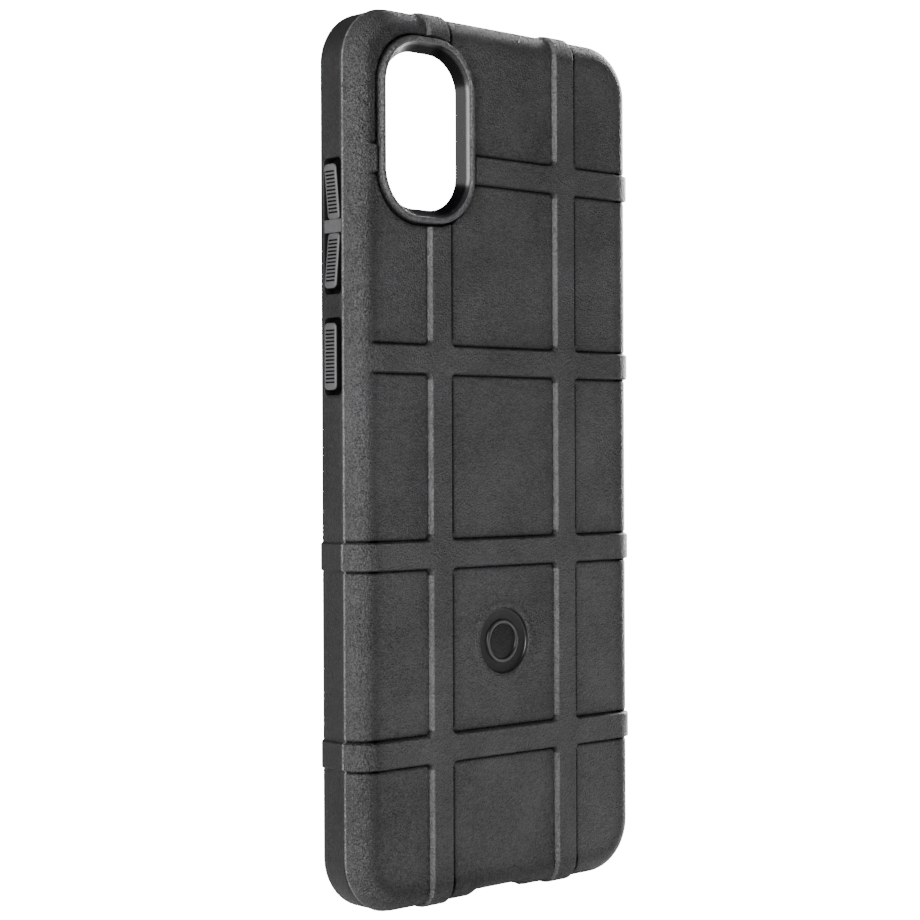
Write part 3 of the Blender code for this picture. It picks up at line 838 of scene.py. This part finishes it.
def makeSideBand():
    flatX = halfWidth - shape["cornerRadius"]
    flatZ = halfLength - shape["cornerRadius"]
    placesX = spread(-flatX, flatX, back["flatStep"], fineSpots(ribMiddlesX))
    placesZ = spread(-flatZ, flatZ, back["flatStep"], fineSpots(ribMiddlesZ))
    outline = outlinePoints(
        (0, midZ), (halfWidth, halfLength), shape["cornerRadius"], band["cornerSteps"], placesX, placesZ
    )
    bm = sweptSheet(outline, bandProfile(), bandPlace, closed=True)
    piece = finishMesh("sideBand", bm, [fineTpu], sharp=50)
    backY = partY + slot["strip"]
    slotFront = keyFrontY + slot["frontGap"]
    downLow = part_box("volume_down_key")[0].z
    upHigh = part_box("volume_up_key")[1].z
    powerLow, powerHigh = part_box("power_key")
    gap = slot["endGap"]
    cutters = [
        sideCutter("volumeCutter", downLow - gap, upHigh + gap, backY, slotFront),
        sideCutter("powerCutter", powerLow.z - gap, powerHigh.z + gap, backY, slotFront),
    ]
    wallLow = midZ - halfLength - 2 * mm
    wallHigh = midZ - halfLength + shape["endWall"] + 1 * mm
    portFront = panelY + ends["portFront"]
    low = (-ends["portHalf"], backY, wallLow)
    high = (ends["portHalf"], portFront, wallHigh)
    cutters.append(finishMesh("portCutter", roundedBox(low, high, ends["portCorner"], 10, 2), [fineTpu]))
    middleY = (partY + portFront) / 2
    halfSlot = ends["speakerHeight"] / 2
    for side in (-1, 1):
        low = (side * ends["speakerX"] - ends["speakerWidth"] / 2, middleY - halfSlot, wallLow)
        high = (side * ends["speakerX"] + ends["speakerWidth"] / 2, middleY + halfSlot, wallHigh)
        cutters.append(finishMesh("speakerCutter", roundedBox(low, high, halfSlot * 0.99, 12, 2), [fineTpu]))
    topLow = midZ + halfLength - shape["endWall"] - 1 * mm
    r = ends["micRadius"]
    low = (ends["micX"] - r, middleY - r, topLow)
    high = (ends["micX"] + r, middleY + r, midZ + halfLength + 2 * mm)
    cutters.append(finishMesh("micCutter", roundedBox(low, high, r * 0.99, 12, 2), [fineTpu]))
    carve(piece, cutters)
    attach(piece, "case_body")
    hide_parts("side_frame")


keys = {
    "width": 3.4 * mm,
    "thickness": 1.3 * mm,
    "corner": 0.9 * mm,
    "edgeRound": 0.28 * mm,
    "volumeLength": 10.45 * mm,
    "volumeTilt": 5.4,
    "powerLength": 12.5 * mm,
    "proud": 0.5 * mm,
    "grooveWidth": 0.33 * mm,
    "grooveLength": 2.55 * mm,
    "grooveDepth": 0.32 * mm,
    "groovePitch": 0.69 * mm,
    "hingeDepth": 0.8 * mm,  # from a volume key's face to its hinge
}
keyFrontY = joints["power_press"].y
keyMidY = keyFrontY - keys["width"] / 2


def makeKey(name, node, body, low, high, grooves, turn):
    # a key in its own frame, with its outer face at X = 0 and its length along Z, then turned into place
    t, w = keys["thickness"], keys["width"]
    bm = roundedBox((0, -w / 2, low), (t, w / 2, high), keys["corner"], 8, 0)
    rim = [edge for edge in bm.edges if all(abs(vert.co.x) < 1e-7 for vert in edge.verts)]
    bevelEdges(bm, rim, keys["edgeRound"], 5)
    # the key's back and sides take the near-black painted shade
    for face in bm.faces:
        if face.calc_center_median().x > keys["edgeRound"] * 0.9:
            face.material_index = 1
    key = finishMesh(name, bm, [satinTpu, shadedTpu], sharp=40)
    middle = (low + high) / 2
    cutters = []
    reach, half, depth = keys["grooveLength"] / 2, keys["grooveWidth"] / 2, keys["grooveDepth"]
    for groove in range(grooves):
        z = middle + (groove - (grooves - 1) / 2) * keys["groovePitch"]
        bm = roundedBox((-t, -reach, z - half), (depth, reach, z + half), half * 0.98, 5, 0)
        # the grooves' walls take the near-black painted shade
        cutters.append(finishMesh("grooveCutter", bm, [shadedTpu]))
    carve(key, cutters)
    key.data.transform(turn)
    key.data.shade_smooth()
    key.data.set_sharp_from_angle(angle=radians(40))
    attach(key, body)
    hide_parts(node)


def makeKeys():
    tilt = radians(keys["volumeTilt"])
    shift = Matrix.Translation((-keys["hingeDepth"], 0, 0))
    for name, node, body, joint, up in (
        ("volumeUpKey", "volume_up_key", "volume_up", "volume_up_press", 1),
        ("volumeDownKey", "volume_down_key", "volume_down", "volume_down_press", -1),
    ):
        turn = Matrix.Translation(joints[joint]) @ Matrix.Rotation(-up * tilt, 4, "Y") @ shift
        low, high = sorted((0.0, up * keys["volumeLength"]))
        makeKey(name, node, body, low, high, 12, turn)
    half = keys["powerLength"] / 2
    place = Vector((-halfWidth - keys["proud"], keyMidY, joints["power_press"].z))
    makeKey("powerKey", "power_key", "power", -half, half, 15, Matrix.Translation(place))


bridge = {"reach": 0.28 * mm, "overlap": 0.02 * mm, "sink": 0.03 * mm, "edgeRound": 0.12 * mm}


def makeBridge():
    # the web between the volume keys, flush with the side
    low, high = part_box("volume_bridge")
    reach, overlap = bridge["reach"], bridge["overlap"]
    bm = roundedBox(
        (low.x + bridge["sink"], partY + slot["strip"] - overlap, low.z - reach),
        (high.x, keyFrontY + slot["frontGap"] + overlap, high.z + reach), bridge["edgeRound"], 3, 1,
    )
    web = finishMesh("volumeBridge", bm, [satinTpu], sharp=40)
    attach(web, "case_body")
    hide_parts("volume_bridge")


makeBackShell()
print("back shell made")
makeBezel()
makeBadge()
print("bezel and badge made")
makeSideBand()
print("side band made")
makeKeys()
makeBridge()
print("keys made")


camera = {
    "place": (-0.28553, -0.29357, 0.00007),
    "yaw": 43.017, "pitch": -0.061, "roll": -0.25, "lens": 81.75,
}
studio = {
    "fill": 0.145,
    "backdrop": 19.0,
    "floorRadius": 6.0,
    "floorGlow": 18.0,
    "boxes": [  # azimuth, elevation, distance, size, power
        ("leftBox", -64, 4, 0.8, (0.40, 0.8), 19.5),
        ("sideBox", -118, 4, 0.8, (0.35, 0.8), 3.0),
        ("rightBox", 106, 8, 0.9, (0.45, 0.9), 33.0),
    ],
}


def makeCamera():
    yaw, pitch, roll = (radians(camera[key]) for key in ("yaw", "pitch", "roll"))
    ahead = Vector((sin(yaw) * cos(pitch), cos(yaw) * cos(pitch), sin(pitch)))
    right = Vector((cos(yaw), -sin(yaw), 0))
    up = right.cross(ahead)
    rolledRight = right * cos(roll) + up * sin(roll)
    rolledUp = up * cos(roll) - right * sin(roll)
    data = bpy.data.cameras.new("camera")
    data.lens = camera["lens"]
    data.sensor_width = 36.0
    data.clip_start = 0.01
    holder = bpy.data.objects.new("camera", data)
    bpy.context.scene.collection.objects.link(holder)
    turn = Matrix((rolledRight, rolledUp, -ahead)).transposed().to_4x4()
    x, y, z = camera["place"]
    holder.matrix_world = Matrix.Translation((x, y + panelY, z + midZ + ribs["rowMiddle"])) @ turn
    bpy.context.scene.camera = holder


def softBox(name, azimuth, elevation, distance, size, power):
    # azimuth 0 stands in front of the ribbed back, and 90 on the right
    data = bpy.data.lights.new(name, "AREA")
    data.shape = "RECTANGLE"
    data.size, data.size_y = size
    data.energy = power
    light = bpy.data.objects.new(name, data)
    bpy.context.scene.collection.objects.link(light)
    a, e = radians(azimuth), radians(elevation)
    way = Vector((sin(a) * cos(e), -cos(a) * cos(e), sin(e)))
    light.location = Vector((0, 0, midZ)) + way * distance
    light.rotation_euler = (-way).to_track_quat("-Z", "Y").to_euler()


def seenBrighter(tree, plain, bright):
    # the backdrop shows white to the camera without lighting the case as strongly
    path = addNode(tree, "ShaderNodeLightPath")
    return addNode(
        tree, "ShaderNodeMixShader", None, {0: path.outputs["Is Camera Ray"], 1: plain, 2: bright}
    ).outputs[0]


def makeStudio():
    world = bpy.data.worlds.new("studio")
    world.use_nodes = True
    bpy.context.scene.world = world
    tree = world.node_tree
    fill = tree.nodes["Background"]
    fill.inputs["Color"].default_value = (1, 1, 1, 1)
    fill.inputs["Strength"].default_value = studio["fill"]
    seen = addNode(tree, "ShaderNodeBackground", {"Color": (1, 1, 1, 1), "Strength": studio["backdrop"]})
    mix = seenBrighter(tree, fill.outputs[0], seen.outputs[0])
    tree.links.new(mix, tree.nodes["World Output"].inputs["Surface"])
    for name, *settings in studio["boxes"]:
        softBox(name, *settings)
    bm = bmesh.new()
    bmesh.ops.create_circle(bm, cap_ends=True, segments=64, radius=studio["floorRadius"])
    paper = bpy.data.materials.new("floorPaper")
    paper.use_nodes = True
    tree = paper.node_tree
    shader = tree.nodes["Principled BSDF"]
    shader.inputs["Base Color"].default_value = linear("#f2f2f2")
    shader.inputs["Roughness"].default_value = 0.9
    glow = addNode(tree, "ShaderNodeEmission", {"Color": (1, 1, 1, 1), "Strength": studio["floorGlow"]})
    lit = addNode(tree, "ShaderNodeAddShader", None, {0: shader.outputs[0], 1: glow.outputs[0]})
    mix = seenBrighter(tree, shader.outputs[0], lit.outputs[0])
    tree.links.new(mix, tree.nodes["Material Output"].inputs["Surface"])
    floor = finishMesh("floor", bm, [paper])
    floor.location.z = cadBox[0].z


makeCamera()
makeStudio()
print("studio made")
